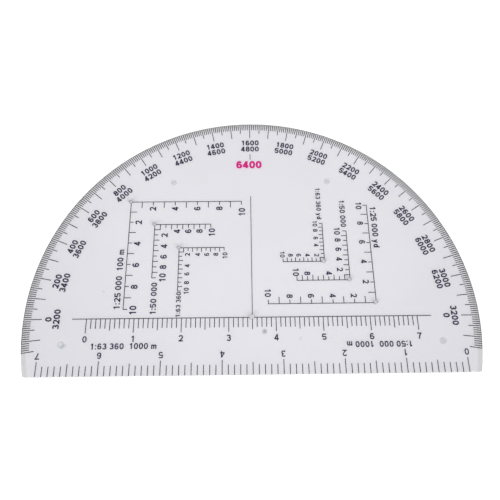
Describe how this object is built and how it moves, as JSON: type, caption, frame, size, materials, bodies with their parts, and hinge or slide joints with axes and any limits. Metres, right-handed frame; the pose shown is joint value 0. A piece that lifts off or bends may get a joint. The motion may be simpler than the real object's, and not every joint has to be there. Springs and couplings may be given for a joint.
{
  "type": "map protractor",
  "caption": "Flat half-round clear plastic map protractor with a mils scale round its arc, straight distance scales and nested right-angled coordinate scales sealed inside.",
  "frame": {"origin": "middle of the flat underside that lies on the map", "axes": "+X along the straight edge to the right as the mils numbers read upright, +Y in the plane towards the top of the arc, +Z out of the printed face"},
  "size_m": [0.1524, 0.095, 0.0016],
  "materials": {
    "clear_plastic": "clear, polished, faintly lilac",
    "printing_ink": "blue-black printing ink, sealed inside",
    "magenta_ink": "magenta printing ink, sealed inside"
  },
  "bodies": {
    "root": {"front_sheet": "clear_plastic", "back_sheet": "clear_plastic", "mils_scale_print": "printing_ink", "index_tick_print": "printing_ink", "centre_line_print": "printing_ink", "diameter_scale_left_print": "printing_ink", "diameter_scale_right_print": "printing_ink", "diameter_scale_middle_tick_print": "printing_ink", "edge_scale_print": "printing_ink", "romer_25k_metres_across_print": "printing_ink", "romer_25k_metres_down_print": "printing_ink", "romer_50k_metres_print": "printing_ink", "romer_63k_metres_print": "printing_ink", "romer_25k_yards_across_print": "printing_ink", "romer_25k_yards_down_print": "printing_ink", "romer_50k_yards_print": "printing_ink", "romer_63k_yards_print": "printing_ink"}
  },
  "joints": []
}
